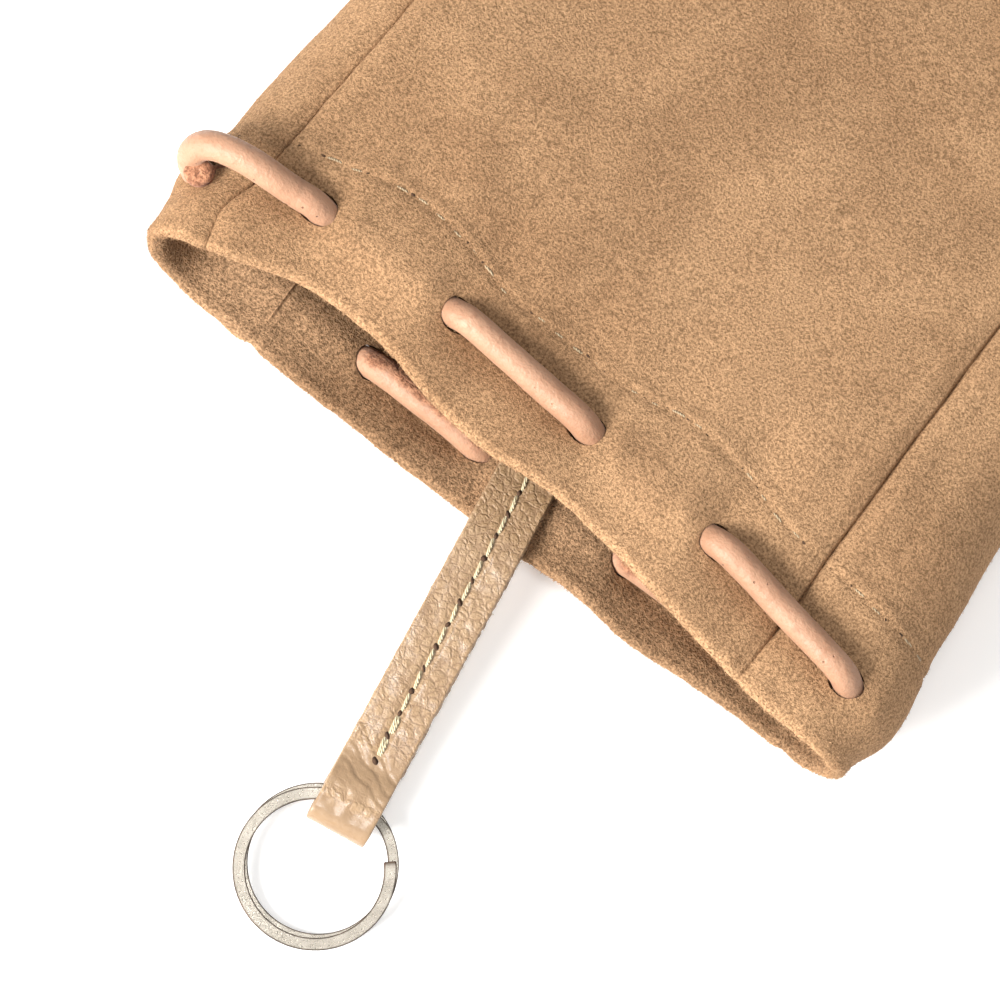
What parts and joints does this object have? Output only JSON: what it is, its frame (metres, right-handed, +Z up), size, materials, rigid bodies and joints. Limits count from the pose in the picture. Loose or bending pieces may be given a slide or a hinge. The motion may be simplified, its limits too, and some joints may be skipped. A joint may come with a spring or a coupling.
{
  "type": "wristlet wallet",
  "caption": "Suede drawstring pouch with a round leather cord laced through its turned mouth, and a leather key strap that carries a split key ring.",
  "frame": {"origin": "on the flat back face that the pouch rests on, 110 mm behind the mouth's edge, midway across", "axes": "+X along the mouth from the left gusset to the right one, +Y from the mouth to the base, +Z up from the back panel to the front panel"},
  "size_m": [0.1397, 0.2387, 0.0344],
  "materials": {
    "suede": "napped suede, matt",
    "cord_leather": "smooth vegetable-tanned, satin",
    "strap_leather": "pebbled grain, satin",
    "thread": "waxed twisted thread",
    "nickel": "satin nickel plate"
  },
  "bodies": {
    "pouch": {"front_panel": "suede", "back_panel": "suede", "left_gusset": "suede", "right_gusset": "suede", "left_gusset_mouth": "suede", "right_gusset_mouth": "suede", "base_panel": "suede", "drawstring": "cord_leather", "key_strap_root": "strap_leather", "anchor_stitching": "thread", "back_hem_stitching": "thread", "front_left_seam": "thread", "front_right_seam": "thread", "back_left_seam": "thread", "back_right_seam": "thread", "base_seam": "thread"},
    "mouth_front": {"front_mouth": "suede", "front_hem_stitching": "thread"},
    "strap": {"key_strap": "strap_leather", "key_strap_fold": "strap_leather", "strap_stitching": "thread"},
    "ring": {"split_ring": "nickel"}
  },
  "joints": [
    {"name": "mouth_close", "type": "hinge", "parent": "pouch", "child": "mouth_front", "pos_m": [0, -0.058, 0.02935], "axis": [1, 0, 0], "range_deg": [-20, 12], "deforming": ["left_gusset_mouth", "right_gusset_mouth", "drawstring"]},
    {"name": "strap_lift", "type": "hinge", "parent": "pouch", "child": "strap", "pos_m": [0.0033, -0.1145, 0.01055], "axis": [-0.9874, -0.1582, 0], "range_deg": [0, 85]},
    {"name": "ring_swing", "type": "hinge", "parent": "strap", "child": "ring", "pos_m": [0.01054, -0.15971, 0.0039], "axis": [-0.9874, -0.1582, 0], "range_deg": [-110, 110], "deforming": ["key_strap_fold"]}
  ]
}
